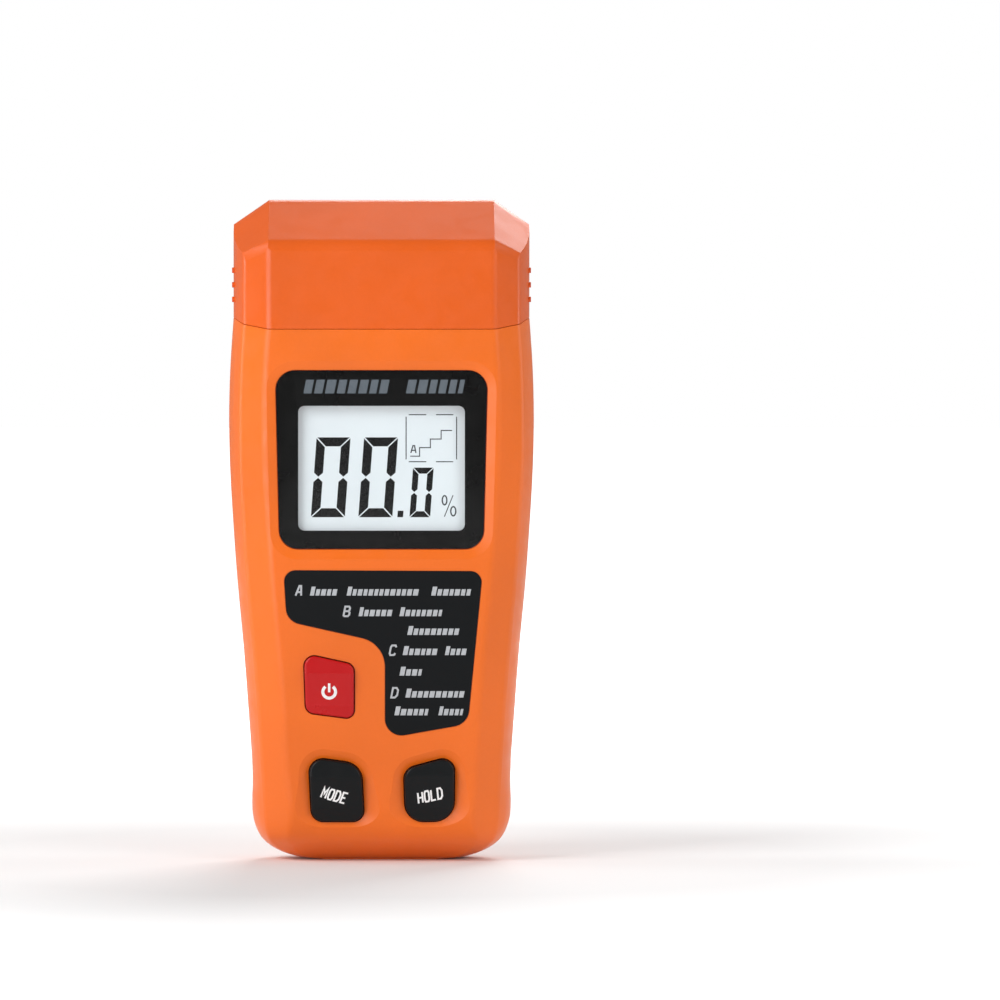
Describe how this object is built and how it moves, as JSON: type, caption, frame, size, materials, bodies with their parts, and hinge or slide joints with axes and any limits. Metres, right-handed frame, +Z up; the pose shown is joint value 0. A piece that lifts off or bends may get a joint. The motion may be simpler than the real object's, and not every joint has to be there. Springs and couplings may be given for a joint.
{
  "type": "moisture meter",
  "caption": "Handheld pin-type moisture meter with a waisted plastic case, display window, three keys, needle electrodes and a push-on cap.",
  "frame": {"origin": "centre of the lower end, on the surface that the meter stands on", "axes": "+Z up towards the cap and pins, the display faces -Y, +X to the right as the display is read"},
  "size_m": [0.067, 0.032, 0.1451],
  "materials": {
    "case_orange": "satin, fine moulded texture",
    "cap_orange": "satin, fine moulded texture",
    "clear_lens": "polished clear acrylic",
    "gloss_black": "gloss black print behind the lens",
    "label_black": "semi-gloss polyester label",
    "lcd_glass": "reflective liquid crystal panel",
    "light_guide": "frosted",
    "white_plastic": "moulded",
    "dark_rubber": "striped conductive rubber",
    "board_green": "solder mask",
    "chip_black": "moulded",
    "ceramic": "fired ceramic",
    "plunger_white": "moulded",
    "key_red": "satin",
    "key_black": "satin",
    "screw_steel": "zinc plated",
    "cell_wrap": "printed sleeve on steel can",
    "nickel": "nickel plated",
    "pin_steel": "hardened, dark",
    "brass": "turned",
    "wire_red": "insulation",
    "wire_black": "insulation"
  },
  "bodies": {
    "case": {"front_shell": "case_orange", "rear_shell": "case_orange", "display_lens": "clear_lens", "lens_mask": "gloss_black", "reference_label": "label_black", "lcd_panel": "lcd_glass", "lcd_light_guide": "light_guide", "lcd_frame": "white_plastic", "zebra_strip": "dark_rubber", "main_board": "board_green", "processor_chip": "chip_black", "amplifier_chip": "chip_black", "power_switch": "chip_black", "mode_switch": "chip_black", "hold_switch": "chip_black", "electrode_block": "chip_black", "small_components": "ceramic", "board_screws": "screw_steel", "case_screws": "screw_steel", "inner_nuts": "screw_steel", "battery_cell_lower": "cell_wrap", "battery_cell_upper": "cell_wrap", "battery_bridge": "nickel", "battery_contact_lower": "nickel", "battery_contact_upper": "nickel", "pin_nut_left": "nickel", "pin_nut_right": "nickel", "pin_washer_left": "nickel", "pin_washer_right": "nickel", "electrode_pin_left": "pin_steel", "electrode_pin_right": "pin_steel", "pin_bush_left": "brass", "pin_bush_right": "brass", "solder_lug_left": "brass", "solder_lug_right": "brass", "battery_lead_upper": "wire_red", "pin_lead_left": "wire_red", "pin_lead_right": "wire_red", "battery_lead_lower": "wire_black"},
    "cap": {"protective_cap": "cap_orange"},
    "door": {"battery_door": "case_orange"},
    "power_key": {"power_button": "key_red", "power_plunger": "plunger_white"},
    "mode_key": {"mode_button": "key_black", "mode_plunger": "plunger_white"},
    "hold_key": {"hold_button": "key_black", "hold_plunger": "plunger_white"}
  },
  "joints": [
    {"name": "cap_slide", "type": "slide", "parent": "case", "child": "cap", "axis": [0, 0, 1], "range_m": [0, 0.045]},
    {"name": "door_hinge", "type": "hinge", "parent": "case", "child": "door", "pos_m": [0, 0.01355, 0.0812], "axis": [-1, 0, 0], "range_deg": [0, 80]},
    {"name": "power_press", "type": "slide", "parent": "case", "child": "power_key", "axis": [0, 1, 0], "range_m": [0, 0.0005], "stiffness_N_per_m": 2000},
    {"name": "mode_press", "type": "slide", "parent": "case", "child": "mode_key", "axis": [0, 1, 0], "range_m": [0, 0.0005], "stiffness_N_per_m": 2000},
    {"name": "hold_press", "type": "slide", "parent": "case", "child": "hold_key", "axis": [0, 1, 0], "range_m": [0, 0.0005], "stiffness_N_per_m": 2000}
  ]
}
